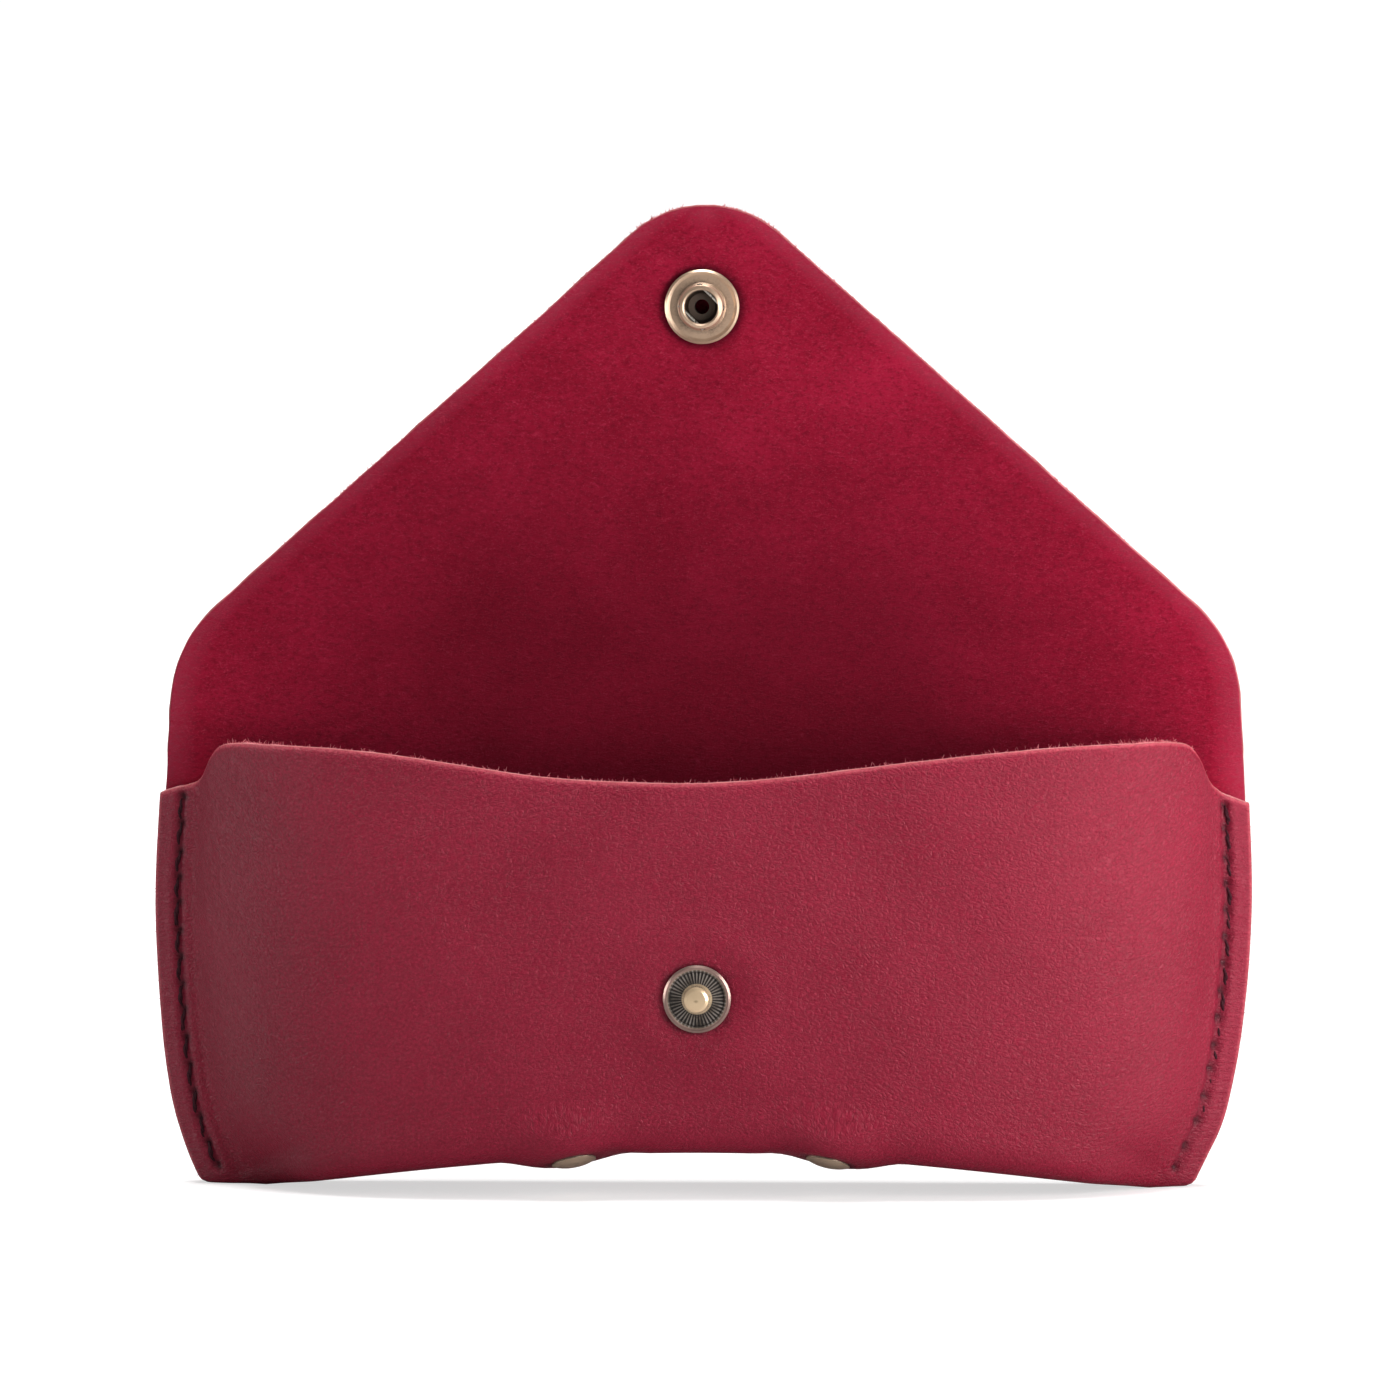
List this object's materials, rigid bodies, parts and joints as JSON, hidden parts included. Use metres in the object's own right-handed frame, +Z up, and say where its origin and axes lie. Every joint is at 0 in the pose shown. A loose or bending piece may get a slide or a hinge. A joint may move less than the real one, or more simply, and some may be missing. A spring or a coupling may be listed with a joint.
{
  "type": "soft glasses pouch",
  "caption": "Soft leather pouch for folded eyeglasses: a stitched open-topped pocket with a long envelope flap that folds over the mouth and snaps shut on the front.",
  "frame": {"origin": "on the floor, in the middle of the overall box, between the two corner rests", "axes": "+X to the right along the long side, +Y to the back where the flap is hinged, +Z up; the front panel with the stud faces -Y"},
  "size_m": [0.178, 0.0294, 0.1598],
  "materials": {
    "hide": "full-grain satin outside, suede inside",
    "stay_leather": "suede",
    "thread": "waxed",
    "snap_brass": "antique",
    "snap_steel": "spring wire",
    "rivet_brass": "dark antique"
  },
  "bodies": {
    "pouch": {"leather_front": "hide", "leather_base": "hide", "leather_back": "hide", "base_stay": "stay_leather", "stitching_left": "thread", "stitching_right": "thread", "snap_stud": "snap_brass", "snap_stud_eyelet": "snap_brass", "rivet_left_cap": "rivet_brass", "rivet_left_post": "rivet_brass", "rivet_right_cap": "rivet_brass", "rivet_right_post": "rivet_brass"},
    "flap_bridge": {"leather_flap_bridge": "hide"},
    "flap_front": {"leather_flap_front": "hide", "snap_cap_shell": "snap_brass", "snap_cap_post": "snap_brass", "snap_socket": "snap_brass", "snap_spring": "snap_steel"}
  },
  "joints": [
    {"name": "rear_fold", "type": "hinge", "parent": "pouch", "child": "flap_bridge", "pos_m": [0, 0.0099, 0.07], "axis": [1, 0, 0], "range_deg": [-30, 70.91]},
    {"name": "front_fold", "type": "hinge", "parent": "flap_bridge", "child": "flap_front", "pos_m": [0, 0.0099, 0.09751], "axis": [1, 0, 0], "range_deg": [-15, 109.09]}
  ]
}
